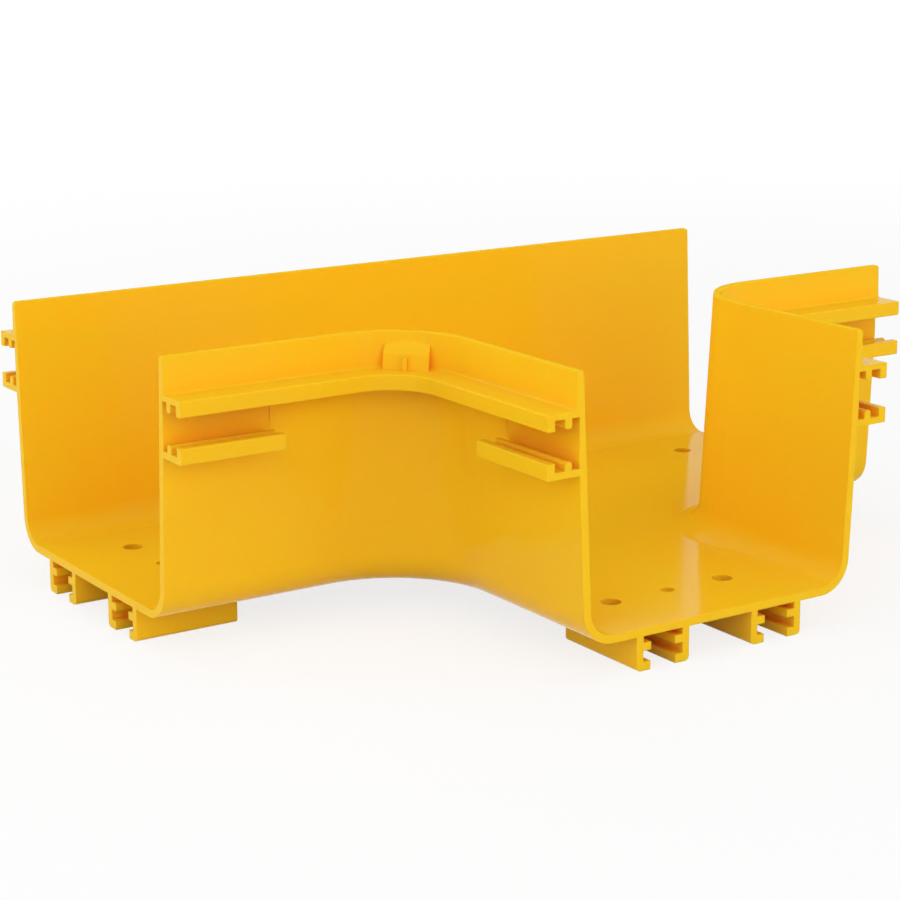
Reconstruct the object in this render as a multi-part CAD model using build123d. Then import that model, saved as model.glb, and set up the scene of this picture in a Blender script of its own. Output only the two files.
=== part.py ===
from build123d import *
from math import radians, tan
import os

# Tee fitting for a fibre raceway, moulded in one piece from plastic: a straight run of
# open trough with a side branch. Its walls carry coupler rails, and its floor stands on
# paired legs whose feet make T slots for brackets.
# X is along the run and the branch opens towards -Y. Z is up from the floor's underside,
# and the origin is where the centre lines of the run and the branch cross.
# In a section, "out" is the distance from the trough's centre line.

# Trough
channel_width = 101.6
wall_height = 80.3
run_length = 276.0
branch_reach = 134.5
wall_thickness = 2.45
floor_thickness = 2.45
flare_angle = 2.67
inner_round = 8.0
outer_round = 10.5
bend_radius = 25.4
end_corner_round = 1.2

# Upper wall, above the coupler rail
upper_wall_height = 11.2
upper_wall_proud = 0.38
top_thickness = 1.93
top_edge_round = 0.4

# Coupler rails: a plate on the wall, an outer lip and a rib between them
rail_projection = 12.3
rail_depth = 4.8
rail_opening = 8.9
upper_plate = 1.75
lower_plate = 2.05
lip_thickness = 2.6
lip_to_rib = 3.5
rib_thickness = 2.35
rib_setback = 0.2
rib_tip_round = 0.9
rail_edge_round = 0.45
rail_root_round = 0.8
coupler_length = 34.0

# Coupler seat: the wall between the rails, cut upright at each opening
seat_projection = 1.25
seat_length = 34.6

# Flat pad on the upper wall at the middle of each bend, with a gusset in front of it
pad_length = 14.0
pad_depth = 3.9
pad_shoulder_depth = 3.0
pad_shoulder_height = 4.8
pad_height = 9.4
gusset_projection = 1.5
gusset_thickness = 1.3
gusset_height = 4.1

# Legs under each opening, two pairs, each pair with a T slot between its feet
leg_height = 10.35
leg_web = 2.4
leg_pair_width = 19.2
leg_pair_spacing = 42.8
leg_rib_reach = 5.2
leg_rib_drop = 2.0
leg_rib_thickness = 2.4
foot_reach = 5.0
foot_thickness = 2.65
foot_round = 1.5

# Fixing holes in the floor at each opening
fixing_hole = 6.4
pilot_hole = 4.5
hole_setback = 24.8

# Depth by which one feature is rooted in another before they are fused
root = 1.0

half_channel = channel_width / 2
lean = tan(radians(flare_angle))
rail_top = wall_height - upper_wall_height
rail_out = half_channel + rail_projection
lower_rail_base = rail_top - 2 * rail_depth - rail_opening
bend_centre = half_channel + top_thickness + bend_radius
half_run = run_length / 2


def inner_face(height):
    """Distance out to the wall's trough side at a height."""
    return half_channel - (wall_height - height) * lean


def outer_face(height):
    """Distance out to the wall's outside, below the upper rail."""
    return inner_face(height) + wall_thickness


floor_seam = inner_face(floor_thickness) - inner_round - root
upper_wall_out = outer_face(rail_top) + upper_wall_proud


def bar(near, far, low, high):
    """Rectangle between two distances out and two heights."""
    return Pos((near + far) / 2, (low + high) / 2) * Rectangle(far - near, high - low)


def round_corners(section, radius, corners):
    """Section with the corners nearest to the given points rounded."""
    chosen = [section.vertices().sort_by_distance(Vector(*corner))[0] for corner in corners]
    return fillet(chosen, radius)


def wall_section():
    """Half of the trough's section: floor edge, rounded foot and flared wall."""
    outline = Polyline(
        (floor_seam, 0),
        (outer_face(0), 0),
        (outer_face(rail_top), rail_top),
        (upper_wall_out, rail_top),
        (half_channel + top_thickness, wall_height),
        (half_channel, wall_height),
        (inner_face(floor_thickness), floor_thickness),
        (floor_seam, floor_thickness),
        close=True,
    )
    section = make_face(outline)
    section = round_corners(section, outer_round, [(outer_face(0), 0)])
    section = round_corners(section, inner_round, [(inner_face(floor_thickness), floor_thickness)])
    top_corners = [(half_channel, wall_height), (half_channel + top_thickness, wall_height)]
    return round_corners(section, top_edge_round, top_corners)


def rail_section(plate, up):
    """Coupler rail based at height 0, with its lip and rib pointing up or down."""
    rail_in = outer_face(lower_rail_base) - root
    lip_in = rail_out - lip_thickness
    rib_out = lip_in - lip_to_rib
    rib_in = rib_out - rib_thickness
    rib_top = rail_depth - rib_setback
    section = bar(rail_in, rail_out, 0, plate) + bar(lip_in, rail_out, 0, rail_depth)
    section += bar(rib_in, rib_out, 0, rib_top)
    section = round_corners(section, rib_tip_round, [(rib_in, rib_top), (rib_out, rib_top)])
    section = round_corners(section, rail_edge_round, [(rail_out, 0), (rail_out, rail_depth)])
    return section if up else mirror(section, about=Plane.XZ)


def upper_rail_section():
    """Rail at the upper wall's foot, with a rounded root where the two meet."""
    rail = Pos(0, rail_top) * rail_section(upper_plate, up=False)
    hollow_out = upper_wall_out + rail_root_round
    hollow_up = rail_top + rail_root_round
    corner = bar(upper_wall_out - rail_root_round, hollow_out, rail_top, hollow_up)
    return rail + (corner - Pos(hollow_out, hollow_up) * Circle(rail_root_round))


def trough_walls(section):
    """Section run along the back wall and along both front walls and their bends."""
    start = Plane((-half_run, 0, 0), x_dir=(0, 1, 0), z_dir=(1, 0, 0))
    back = extrude(start * section, run_length)
    run_end = Plane((half_run, 0, 0), x_dir=(0, -1, 0), z_dir=(-1, 0, 0))
    front = extrude(run_end * section, half_run - bend_centre)
    bend_start = Plane((bend_centre, 0, 0), x_dir=(0, -1, 0), z_dir=(-1, 0, 0))
    bend_axis = Axis((bend_centre, -bend_centre, 0), (0, 0, 1))
    bend = revolve(bend_start * section, bend_axis, 90)
    bend_end = Plane((0, -bend_centre, 0), x_dir=(1, 0, 0), z_dir=(0, -1, 0))
    side = extrude(bend_end * section, branch_reach - bend_centre)
    corner = front + bend + side
    return back + corner + mirror(corner, about=Plane.YZ)


def floor_plate():
    """Middle of the floor, from wall foot to wall foot, with round inside corners."""
    run = Rectangle(run_length, 2 * floor_seam)
    branch = Pos(0, -branch_reach / 2) * Rectangle(2 * floor_seam, branch_reach)
    corners = [(floor_seam, -floor_seam), (-floor_seam, -floor_seam)]
    plan = round_corners(run + branch, bend_centre - floor_seam, corners)
    return extrude(plan, floor_thickness)


def pad():
    """Flat-faced pad that rises from the rail's plate and slopes back into the upper wall."""
    wall = bend_centre - upper_wall_out
    profile = make_face(
        Polyline(
            (wall + root, rail_top - root),
            (wall + root, rail_top + pad_height),
            (wall - pad_shoulder_depth, rail_top + pad_shoulder_height),
            (wall - pad_depth, rail_top),
            (wall - pad_depth, rail_top - root),
            close=True,
        )
    )
    return extrude(Plane.XZ * profile, pad_length / 2, both=True)


def gusset():
    """Narrow upright web in front of the pad's middle."""
    wall = bend_centre - upper_wall_out
    nose = wall - pad_depth - gusset_projection
    profile = bar(nose, wall, rail_top - root, rail_top + gusset_height)
    return extrude(Plane.XZ * profile, gusset_thickness / 2, both=True)


def bend_details():
    """Pad and gusset of both bends, each turned to face the crossing."""
    detail = Pos(bend_centre, -bend_centre, 0) * Rot(0, 0, 135) * (pad() + gusset())
    return detail + mirror(detail, about=Plane.YZ)


def leg():
    """One leg's section: web, T slot rib and foot, reaching towards +X from the web."""
    section = bar(0, leg_web, -leg_height, root)
    section += bar(0, leg_rib_reach, -leg_rib_drop - leg_rib_thickness, -leg_rib_drop)
    section += bar(0, foot_reach, -leg_height, foot_thickness - leg_height)
    return round_corners(section, foot_round, [(0, -leg_height)])


def leg_sections():
    """Two pairs of legs across an opening, the legs of each pair facing each other."""
    inner = Pos((leg_pair_spacing - leg_pair_width) / 2, 0) * leg()
    outer = Pos((leg_pair_spacing + leg_pair_width) / 2, 0) * mirror(leg(), about=Plane.YZ)
    pair = inner + outer
    return pair + mirror(pair, about=Plane.YZ)


def end_additions():
    """Lower rails and legs of one opening, running inwards along +X."""
    across = Plane((0, 0, 0), x_dir=(0, 1, 0), z_dir=(1, 0, 0))
    rail = Pos(0, lower_rail_base) * rail_section(lower_plate, up=True)
    sections = rail + mirror(rail, about=Plane.YZ) + leg_sections()
    return extrude(across * sections, coupler_length)


def end_cuts():
    """What is cut at one opening: coupler seats, rounded wall corners and floor holes."""
    across = Plane((0, 0, 0), x_dir=(0, 1, 0), z_dir=(1, 0, 0))
    seat = bar(
        half_channel + seat_projection,
        rail_out - lip_thickness - lip_to_rib - rib_thickness,
        lower_rail_base + lower_plate,
        rail_top - upper_plate,
    )
    seats = extrude(across * (seat + mirror(seat, about=Plane.YZ)), seat_length)
    corner = bar(0, end_corner_round, wall_height - end_corner_round, wall_height)
    corner -= Pos(end_corner_round, wall_height - end_corner_round) * Circle(end_corner_round)
    corners = extrude(Plane.XZ * corner, upper_wall_out, both=True)
    plan = [Pos(hole_setback, 0) * Circle(pilot_hole / 2)]
    for side in (-1, 1):
        plan.append(Pos(hole_setback, side * leg_pair_spacing / 2) * Circle(fixing_hole / 2))
    holes = extrude(Sketch() + plan, floor_thickness)
    return seats + corners + holes


# Each opening, with +X pointing into the fitting
openings = [
    Location((-half_run, 0, 0), (0, 0, 0)),
    Location((half_run, 0, 0), (0, 0, 180)),
    Location((0, -branch_reach, 0), (0, 0, 90)),
]

tee_body = trough_walls(wall_section() + upper_rail_section()) + floor_plate() + bend_details()
for opening in openings:
    tee_body -= opening * end_cuts()
for opening in openings:
    tee_body += opening * end_additions()

os.makedirs("parts", exist_ok=True)
export_step(tee_body, "parts/tee_body.step")
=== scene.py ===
"""Looks of the moulded raceway tee: its plastic finish, a white studio and the camera.

The fitting is one moulding, so the frame's own mesh is what shows. This script gives it the
finish of glossy moulded plastic and sets it in plain, soft light.
"""

import logging
import math
from collections.abc import Mapping, Sequence
from dataclasses import dataclass, field
from enum import Enum

import bmesh
import bpy
from mathutils import Matrix, Vector


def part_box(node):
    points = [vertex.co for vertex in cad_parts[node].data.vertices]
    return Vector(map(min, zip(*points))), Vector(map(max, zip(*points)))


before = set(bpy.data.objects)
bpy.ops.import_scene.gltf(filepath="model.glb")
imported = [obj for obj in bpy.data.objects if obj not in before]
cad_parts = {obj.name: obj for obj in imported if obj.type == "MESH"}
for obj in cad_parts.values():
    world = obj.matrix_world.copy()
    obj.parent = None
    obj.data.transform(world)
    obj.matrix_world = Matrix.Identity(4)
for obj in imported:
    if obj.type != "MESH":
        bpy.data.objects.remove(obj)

LOG = logging.getLogger("raceway_tee")
PHOTO_SIDE = 900
MM = 0.001
WHITE = "ffffff"
GEOMETRY_SAMPLES = 4


class Ray(Enum):
    """Kinds of ray that the Light Path node tells apart."""

    CAMERA = "Is Camera Ray"
    GLOSSY = "Is Glossy Ray"
    TRANSMISSION = "Is Transmission Ray"


def linear(hex_colour: str) -> tuple[float, float, float, float]:
    """Turns an sRGB hex colour into linear light.

    Args:
        hex_colour: Six hex digits, such as "ffc20e".

    Returns:
        Red, green, blue and an alpha of 1.
    """
    channels = [int(hex_colour[i : i + 2], 16) / 255 for i in (0, 2, 4)]
    low = [c / 12.92 for c in channels]
    high = [((c + 0.055) / 1.055) ** 2.4 for c in channels]
    red, green, blue = (lo if c <= 0.04045 else hi for c, lo, hi in zip(channels, low, high))
    return red, green, blue, 1.0


def per_metre(feature_mm: float) -> float:
    """Texture scale whose features are about this many millimetres across."""
    return 1.0 / (feature_mm * MM)


def add_node(
    tree: bpy.types.NodeTree,
    kind: str,
    settings: Mapping[str, object] | None = None,
    inputs: Mapping[str | int, object] | None = None,
) -> bpy.types.Node:
    """Adds a node with its settings, and feeds each of its inputs.

    Args:
        tree: Node tree that the node joins.
        kind: Blender's name for the node's type.
        settings: The node's own properties, by name.
        inputs: What each input gets, by name or index: another node's output, or a value.

    Returns:
        The new node.
    """
    node = tree.nodes.new(kind)
    for name, value in (settings or {}).items():
        setattr(node, name, value)
    for name, value in (inputs or {}).items():
        if isinstance(value, bpy.types.NodeSocket):
            tree.links.new(value, node.inputs[name])
        else:
            node.inputs[name].default_value = value
    return node


def seen_directly(tree: bpy.types.NodeTree) -> bpy.types.NodeSocket:
    """Adds a mask that is 1 for rays that show a thing, itself or in a gloss, and 0 for light.

    Args:
        tree: Node tree that gets the mask.

    Returns:
        The mask's output.
    """
    path = add_node(tree, "ShaderNodeLightPath")
    mask = path.outputs[Ray.CAMERA.value]
    for ray in (Ray.GLOSSY, Ray.TRANSMISSION):
        larger = add_node(
            tree, "ShaderNodeMath", {"operation": "MAXIMUM"}, {0: mask, 1: path.outputs[ray.value]}
        )
        mask = larger.outputs[0]
    return mask


@dataclass(frozen=True)
class MouldedPlastic:
    """Glossy injection-moulded ABS, self-coloured yellow.

    The polished mould leaves a smooth skin that mirrors what is low behind it, with a faint
    unevenness where the melt flowed, and light handling marks that dull the gloss in places.
    Its edges are a little paler and duller, and the walls' rims, where the mould parts, are
    nearly matt. The renderer turns the yellow orange where light bounces between close faces,
    and deep between them more orange is painted in as shade, by an occlusion mask.

    Attributes:
        name: What the material is called.
        colour: Yellow of the body.
        flow_colour: Yellow that the body drifts to along the melt's flow.
        edge_colour: Paler yellow of the edges.
        painted_shade_colour: Orange painted in as shade deep between close faces.
        ior: Refractive index, from a typical 1.5 for ABS.
        specular: Strength of the gloss, matched to the pale streaks on the floor.
        gloss: Roughness of the clean skin.
        scuffed: Roughness where handling has dulled the skin.
        scuff_range: Share of rubbing at which the skin is still clean, and fully scuffed.
        edge_dullness: Roughness of the edges.
        rim_dullness: Roughness of the walls' rims.
        rim_mm: Heights at which the rim's matt band begins and is full.
        flow_mm: Length of the drifts in colour.
        skin_mm: Length of the skin's waves, as coarse as they need to be to show.
        skin_depth_mm: Depth of the skin's waves.
        scuff_mm: Size of the dulled patches.
        scratch_mm: Length, width and height of the rubbed streaks, which run along the fitting.
        edge_mm: Width of an edge.
        edge_turn: Cosine of the turn at which an edge counts in full.
        painted_shade_mm: How near another face has to be for a spot to get painted shade.
        painted_shade_open: Openness at which the painted orange shade begins, and is full.
        scatter: Share of the light that goes into the plastic before it comes out.
        scatter_mm: Depths that red, green and blue light reach.
    """

    name: str = "glossy_yellow_abs"
    colour: str = "fdc822"
    flow_colour: str = "fcc620"
    edge_colour: str = "fdc926"
    painted_shade_colour: str = "ff8c30"
    ior: float = 1.45
    specular: float = 0.07
    gloss: float = 0.1
    scuffed: float = 0.17
    scuff_range: tuple[float, float] = (0.15, 0.45)
    edge_dullness: float = 0.4
    rim_dullness: float = 0.75
    rim_mm: tuple[float, float] = (79.5, 79.9)
    flow_mm: float = 70.0
    skin_mm: float = 9.0
    skin_depth_mm: float = 0.006
    scuff_mm: float = 14.0
    scratch_mm: tuple[float, float, float] = (26.0, 1.1, 7.0)
    edge_mm: float = 0.3
    edge_turn: float = 0.75
    painted_shade_mm: float = 14.0
    painted_shade_open: tuple[float, float] = (0.34, 0.05)
    scatter: float = 0.5
    scatter_mm: tuple[float, float, float] = (3.0, 0.8, 0.25)

    def build(self) -> bpy.types.Material:
        """Makes the material.

        Returns:
            The finished material.
        """
        material = bpy.data.materials.new(self.name)
        material.use_nodes = True
        tree = material.node_tree
        tree.nodes.clear()
        place = add_node(tree, "ShaderNodeTexCoord").outputs["Object"]
        bevel = add_node(
            tree,
            "ShaderNodeBevel",
            {"samples": GEOMETRY_SAMPLES},
            {"Radius": self.edge_mm * MM},
        )
        edge_normal = bevel.outputs["Normal"]
        edge = self._edge(tree, edge_normal)
        shader = add_node(
            tree,
            "ShaderNodeBsdfPrincipled",
            {"subsurface_method": "RANDOM_WALK"},
            {
                "Base Color": self._colour(tree, place, edge),
                "Roughness": self._roughness(tree, place, edge),
                "Normal": self._skin(tree, place, edge_normal),
                "IOR": self.ior,
                "Specular IOR Level": self.specular,
                "Subsurface Weight": self.scatter,
                "Subsurface Radius": tuple(depth * MM for depth in self.scatter_mm),
                "Subsurface Scale": 1.0,
            },
        )
        add_node(tree, "ShaderNodeOutputMaterial", None, {"Surface": shader.outputs["BSDF"]})
        return material

    def _edge(
        self, tree: bpy.types.NodeTree, edge_normal: bpy.types.NodeSocket
    ) -> bpy.types.NodeSocket:
        """Finds the edges, as 1 where the surface turns sharply and 0 where it is flat.

        Args:
            tree: The material's node tree.
            edge_normal: Normal that turns smoothly round the edges.

        Returns:
            The mask's output.
        """
        true_normal = add_node(tree, "ShaderNodeNewGeometry").outputs["Normal"]
        agreement = add_node(
            tree,
            "ShaderNodeVectorMath",
            {"operation": "DOT_PRODUCT"},
            {0: edge_normal, 1: true_normal},
        )
        edge = add_node(
            tree,
            "ShaderNodeMapRange",
            None,
            {
                "Value": agreement.outputs["Value"],
                "From Min": 1.0,
                "From Max": self.edge_turn,
            },
        )
        return edge.outputs[0]

    def _colour(
        self,
        tree: bpy.types.NodeTree,
        place: bpy.types.NodeSocket,
        edge: bpy.types.NodeSocket,
    ) -> bpy.types.NodeSocket:
        """Drifts the yellow with the melt's flow, paints orange shade into recesses, lifts it at
        edges.

        Args:
            tree: The material's node tree.
            place: Object coordinates.
            edge: Mask of the edges.

        Returns:
            The colour's output.
        """
        flow = add_node(
            tree,
            "ShaderNodeTexNoise",
            None,
            {"Vector": place, "Scale": per_metre(self.flow_mm), "Detail": 2.0},
        )
        body = add_node(
            tree,
            "ShaderNodeMix",
            {"data_type": "RGBA"},
            {
                "Factor": flow.outputs["Fac"],
                "A": linear(self.colour),
                "B": linear(self.flow_colour),
            },
        )
        # Painted shade: where close faces hem a spot in, the yellow is painted orange.
        painted_shade_openness = add_node(
            tree,
            "ShaderNodeAmbientOcclusion",
            {"samples": GEOMETRY_SAMPLES, "only_local": True},
            {"Distance": self.painted_shade_mm * MM},
        )
        painted_shade_mask = add_node(
            tree,
            "ShaderNodeMapRange",
            {"interpolation_type": "SMOOTHSTEP"},
            {
                "Value": painted_shade_openness.outputs["AO"],
                "From Min": self.painted_shade_open[0],
                "From Max": self.painted_shade_open[1],
            },
        )
        painted_shade_body = add_node(
            tree,
            "ShaderNodeMix",
            {"data_type": "RGBA"},
            {"Factor": painted_shade_mask.outputs[0], "A": body.outputs[2], "B": linear(self.painted_shade_colour)},
        )
        lifted = add_node(
            tree,
            "ShaderNodeMix",
            {"data_type": "RGBA"},
            {"Factor": edge, "A": painted_shade_body.outputs[2], "B": linear(self.edge_colour)},
        )
        return lifted.outputs[2]

    def _roughness(
        self,
        tree: bpy.types.NodeTree,
        place: bpy.types.NodeSocket,
        edge: bpy.types.NodeSocket,
    ) -> bpy.types.NodeSocket:
        """Dulls the gloss in soft patches, in faint rubbed streaks, at the edges and on the rims.

        Args:
            tree: The material's node tree.
            place: Object coordinates.
            edge: Mask of the edges.

        Returns:
            The roughness's output.
        """
        patches = add_node(
            tree,
            "ShaderNodeTexNoise",
            None,
            {"Vector": place, "Scale": per_metre(self.scuff_mm), "Detail": 4.0},
        )
        stretch = add_node(
            tree,
            "ShaderNodeMapping",
            None,
            {"Vector": place, "Scale": tuple(per_metre(size) for size in self.scratch_mm)},
        )
        streaks = add_node(
            tree,
            "ShaderNodeTexNoise",
            None,
            {"Vector": stretch.outputs["Vector"], "Scale": 1.0, "Detail": 3.0},
        )
        rubbed = add_node(
            tree,
            "ShaderNodeMath",
            {"operation": "MULTIPLY"},
            {0: patches.outputs["Fac"], 1: streaks.outputs["Fac"]},
        )
        spread = add_node(
            tree,
            "ShaderNodeMapRange",
            None,
            {
                "Value": rubbed.outputs[0],
                "From Min": self.scuff_range[0],
                "From Max": self.scuff_range[1],
                "To Min": self.gloss,
                "To Max": self.scuffed,
            },
        )
        dulled = add_node(
            tree,
            "ShaderNodeMapRange",
            None,
            {"Value": edge, "To Min": spread.outputs[0], "To Max": self.edge_dullness},
        )
        height = add_node(tree, "ShaderNodeSeparateXYZ", None, {0: place}).outputs["Z"]
        rim = add_node(
            tree,
            "ShaderNodeMapRange",
            None,
            {
                "Value": height,
                "From Min": self.rim_mm[0] * MM,
                "From Max": self.rim_mm[1] * MM,
                "To Min": dulled.outputs[0],
                "To Max": self.rim_dullness,
            },
        )
        return rim.outputs[0]

    def _skin(
        self,
        tree: bpy.types.NodeTree,
        place: bpy.types.NodeSocket,
        edge_normal: bpy.types.NodeSocket,
    ) -> bpy.types.NodeSocket:
        """Gives the moulded skin its faint waviness.

        Args:
            tree: The material's node tree.
            place: Object coordinates.
            edge_normal: Normal that turns smoothly round the edges.

        Returns:
            The normal's output.
        """
        waves = add_node(
            tree,
            "ShaderNodeTexNoise",
            None,
            {"Vector": place, "Scale": per_metre(self.skin_mm), "Detail": 1.0},
        )
        bump = add_node(
            tree,
            "ShaderNodeBump",
            None,
            {
                "Strength": 1.0,
                "Distance": self.skin_depth_mm * MM,
                "Height": waves.outputs["Fac"],
                "Normal": edge_normal,
            },
        )
        return bump.outputs["Normal"]


@dataclass(frozen=True)
class WhitePaper:
    """Matt studio paper, plain white to look at, with a soft shadow where the fitting stands.

    It throws only part of its light back, and fades into the white surroundings further out.

    Attributes:
        name: What the material is called.
        colour: Colour of the paper to look at.
        bounce_colour: Colour of the paper for the light that it throws on the fitting.
        whiteness: Share of plain white under the fitting, where the rest takes its shadow.
        fade_from: Distance from the fitting's centre where the shadow begins to fade, in metres.
        fade_to: Distance at which the paper is plain white, in metres.
    """

    name: str = "white_paper"
    colour: str = WHITE
    bounce_colour: str = "e4e4e4"
    whiteness: float = 0.8
    fade_from: float = 0.25
    fade_to: float = 1.1

    def build(self) -> bpy.types.Material:
        """Makes the material.

        Returns:
            The finished material.
        """
        material = bpy.data.materials.new(self.name)
        material.use_nodes = True
        tree = material.node_tree
        tree.nodes.clear()
        seen = seen_directly(tree)
        colour = add_node(
            tree,
            "ShaderNodeMix",
            {"data_type": "RGBA"},
            {"Factor": seen, "A": linear(self.bounce_colour), "B": linear(self.colour)},
        )
        paper = add_node(tree, "ShaderNodeBsdfDiffuse", None, {"Color": colour.outputs[2]})
        white = add_node(tree, "ShaderNodeEmission", None, {"Strength": 1.0})
        away = add_node(
            tree,
            "ShaderNodeVectorMath",
            {"operation": "LENGTH"},
            {0: add_node(tree, "ShaderNodeTexCoord").outputs["Object"]},
        )
        fade = add_node(
            tree,
            "ShaderNodeMapRange",
            {"interpolation_type": "SMOOTHSTEP"},
            {
                "Value": away.outputs["Value"],
                "From Min": self.fade_from,
                "From Max": self.fade_to,
                "To Min": self.whiteness,
                "To Max": 1.0,
            },
        )
        share = add_node(
            tree, "ShaderNodeMath", {"operation": "MULTIPLY"}, {0: seen, 1: fade.outputs[0]}
        )
        mix = add_node(
            tree,
            "ShaderNodeMixShader",
            None,
            {0: share.outputs[0], 1: paper.outputs[0], 2: white.outputs[0]},
        )
        add_node(tree, "ShaderNodeOutputMaterial", None, {"Surface": mix.outputs[0]})
        return material


@dataclass
class TeeFitting:
    """The one-piece tee moulding, shown by its own node in the frame.

    Attributes:
        node: The moulding's name in the frame.
        finish: What the moulding is made of.
    """

    node: str = "tee_body"
    finish: MouldedPlastic = field(default_factory=MouldedPlastic)

    def dress(self) -> bpy.types.Object:
        """Puts the plastic finish on the moulding.

        Returns:
            The moulding's object.
        """
        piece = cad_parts[self.node]
        material = self.finish.build()
        for slot in piece.material_slots:
            slot.material = material
        return piece


@dataclass(frozen=True)
class SoftBox:
    """A large lamp with an even white face, which lights the fitting but isn't seen in its gloss.

    Attributes:
        name: What the lamp is called.
        place: Where its face's centre hangs, in metres.
        aim: The point that it faces, in metres.
        width: Width of its face, in metres.
        height: Height of its face, in metres.
        watts: Power of its light.
        colour: Colour of its light.
    """

    name: str
    place: tuple[float, float, float]
    aim: tuple[float, float, float]
    width: float
    height: float
    watts: float
    colour: str = WHITE

    def build(self) -> bpy.types.Object:
        """Hangs the lamp.

        Returns:
            The lamp's object.
        """
        lamp = bpy.data.lights.new(self.name, "AREA")
        lamp.shape = "RECTANGLE"
        lamp.size = self.width
        lamp.size_y = self.height
        lamp.energy = self.watts
        lamp.color = linear(self.colour)[:3]
        holder = bpy.data.objects.new(self.name, lamp)
        facing = Vector(self.aim) - Vector(self.place)
        turn = facing.to_track_quat("-Z", "Y").to_matrix().to_4x4()
        holder.matrix_world = Matrix.Translation(self.place) @ turn
        holder.visible_camera = False
        holder.visible_glossy = False
        bpy.context.scene.collection.objects.link(holder)
        return holder


@dataclass
class Studio:
    """White floor and surroundings, with a softbox overhead and five weaker ones round it.

    Attributes:
        floor_side: Side of the square floor, in metres.
        surround_light: Strength of the even light from the surroundings, where 1 is white.
        paper: What the floor is made of.
        lamps: The softboxes.
    """

    floor_side: float = 8.0
    surround_light: float = 0.2
    paper: WhitePaper = field(default_factory=WhitePaper)
    lamps: Sequence[SoftBox] = (
        SoftBox("overhead_softbox", (0.0, -0.03, 1.25), (0.0, -0.03, 0.0), 1.55, 1.55, 6.4),
        SoftBox("key_softbox", (-0.96, -0.58, 0.72), (0.0, -0.03, 0.04), 1.2, 0.7, 4.3),
        SoftBox("front_softbox", (0.0, -1.25, 0.44), (0.0, -0.03, 0.04), 1.4, 0.9, 6.3),
        SoftBox("right_softbox", (1.10, -0.66, 0.29), (0.0, -0.03, 0.04), 1.4, 0.57, 3.6),
        SoftBox("left_softbox", (-1.10, 0.60, 0.29), (0.0, -0.03, 0.04), 1.4, 0.57, 4.6),
        SoftBox("back_softbox", (-0.25, 1.20, 0.45), (0.0, -0.03, 0.04), 1.3, 0.7, 4.6),
    )

    def build(self, floor_level: float) -> None:
        """Lays the floor, sets the surroundings and hangs the lamps.

        Args:
            floor_level: Height of the floor, in metres.
        """
        self._lay_floor(floor_level)
        self._set_surroundings()
        for lamp in self.lamps:
            LOG.info("lamp %s", lamp.build().name)

    def _lay_floor(self, level: float) -> None:
        """Makes the flat floor that the fitting stands on.

        Args:
            level: Height of the floor, in metres.
        """
        mesh = bpy.data.meshes.new("studio_floor")
        shape = bmesh.new()
        place = Matrix.Translation((0.0, 0.0, level))
        half = self.floor_side / 2
        bmesh.ops.create_grid(shape, x_segments=1, y_segments=1, size=half, matrix=place)
        shape.to_mesh(mesh)
        shape.free()
        mesh.materials.append(self.paper.build())
        floor = bpy.data.objects.new("studio_floor", mesh)
        bpy.context.scene.collection.objects.link(floor)

    def _set_surroundings(self) -> None:
        """Makes the surroundings plain white to look at, and an even light to stand in."""
        world = bpy.data.worlds.new("white_room")
        world.use_nodes = True
        tree = world.node_tree
        tree.nodes.clear()
        strength = add_node(
            tree,
            "ShaderNodeMapRange",
            None,
            {"Value": seen_directly(tree), "To Min": self.surround_light, "To Max": 1.0},
        )
        room = add_node(
            tree,
            "ShaderNodeBackground",
            None,
            {"Color": linear(WHITE), "Strength": strength.outputs[0]},
        )
        add_node(tree, "ShaderNodeOutputWorld", None, {"Surface": room.outputs[0]})
        bpy.context.scene.world = world


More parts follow.
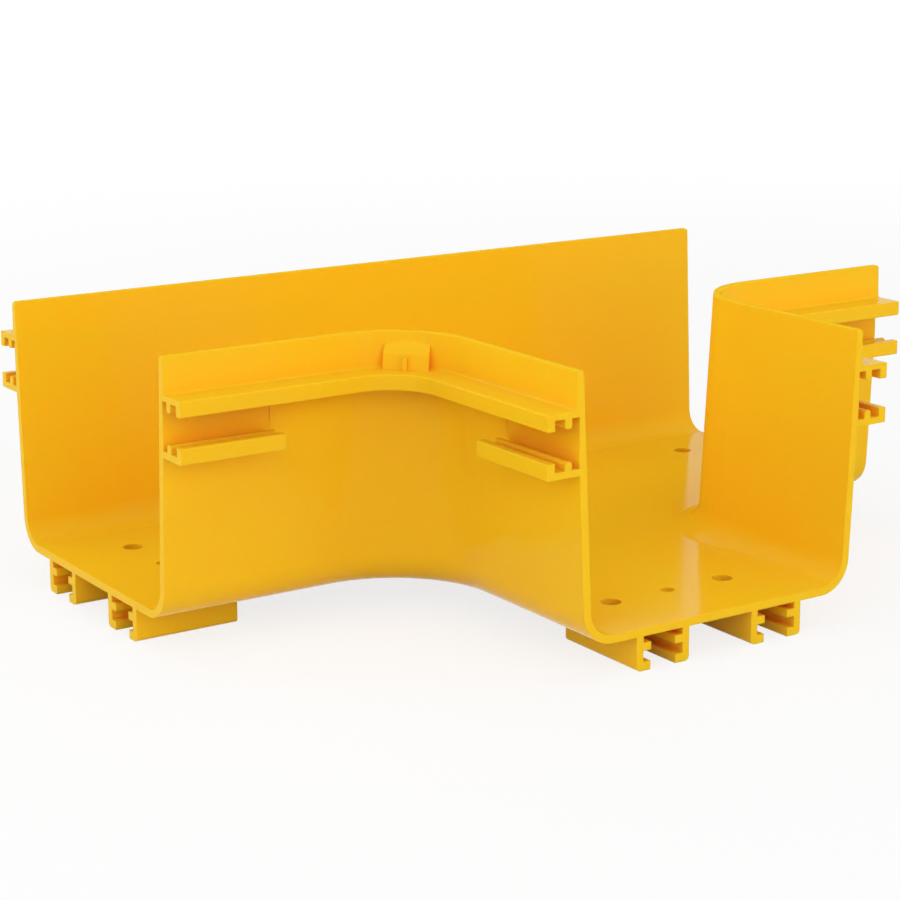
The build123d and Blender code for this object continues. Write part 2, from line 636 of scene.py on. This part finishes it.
@dataclass(frozen=True)
class PhotoCamera:
    """Camera that matches the photograph's, found from the fitting's own edges.

    Attributes:
        place: Where the camera stands, in metres.
        azimuth: Way that it looks, in degrees from +Y towards +X.
        elevation: Way that it looks, in degrees above level.
        roll: Turn about its own axis, in degrees.
        focal_px: Focal length, in pixels of the square photograph.
        centre_px: Point of the photograph straight ahead of the lens, in pixels.
        sensor_mm: Side of the camera's sensor.
        sees: Nearest and furthest distance that it sees, in metres.
    """

    place: tuple[float, float, float] = (-0.42479, -0.62943, 0.21315)
    azimuth: float = 33.19
    elevation: float = -11.594
    roll: float = -0.237
    focal_px: float = 2316.5
    centre_px: tuple[float, float] = (430.1, 350.0)
    sensor_mm: float = 36.0
    sees: tuple[float, float] = (0.01, 50.0)

    def build(self) -> bpy.types.Object:
        """Makes the camera and gives it to the scene.

        Returns:
            The camera's object.
        """
        data = bpy.data.cameras.new("photo_camera")
        data.sensor_width = self.sensor_mm
        data.lens = self.focal_px / PHOTO_SIDE * self.sensor_mm
        data.shift_x = (PHOTO_SIDE / 2 - self.centre_px[0]) / PHOTO_SIDE
        data.shift_y = (self.centre_px[1] - PHOTO_SIDE / 2) / PHOTO_SIDE
        data.clip_start, data.clip_end = self.sees
        camera = bpy.data.objects.new("photo_camera", data)
        camera.matrix_world = Matrix.Translation(self.place) @ self._turn()
        bpy.context.scene.collection.objects.link(camera)
        bpy.context.scene.camera = camera
        return camera

    def _turn(self) -> Matrix:
        """Works out the camera's turn.

        Returns:
            Rotation from the camera's axes to the frame's.
        """
        azimuth, elevation = math.radians(self.azimuth), math.radians(self.elevation)
        level = math.cos(elevation)
        ahead = Vector((math.sin(azimuth) * level, math.cos(azimuth) * level, math.sin(elevation)))
        right = Vector((math.cos(azimuth), -math.sin(azimuth), 0.0))
        upright = Matrix((right, right.cross(ahead), -ahead)).transposed().to_4x4()
        return upright @ Matrix.Rotation(math.radians(self.roll), 4, "Z")


def main() -> None:
    """Dresses the fitting, and sets the camera and the studio with its floor under the fitting."""
    logging.basicConfig(level=logging.INFO, format="%(message)s")
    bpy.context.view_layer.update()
    bpy.context.scene.view_settings.view_transform = "Standard"
    PhotoCamera().build()
    fitting = TeeFitting()
    LOG.info("dressed %s", fitting.dress().name)
    Studio().build(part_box(fitting.node)[0].z)


if __name__ == "__main__":
    main()
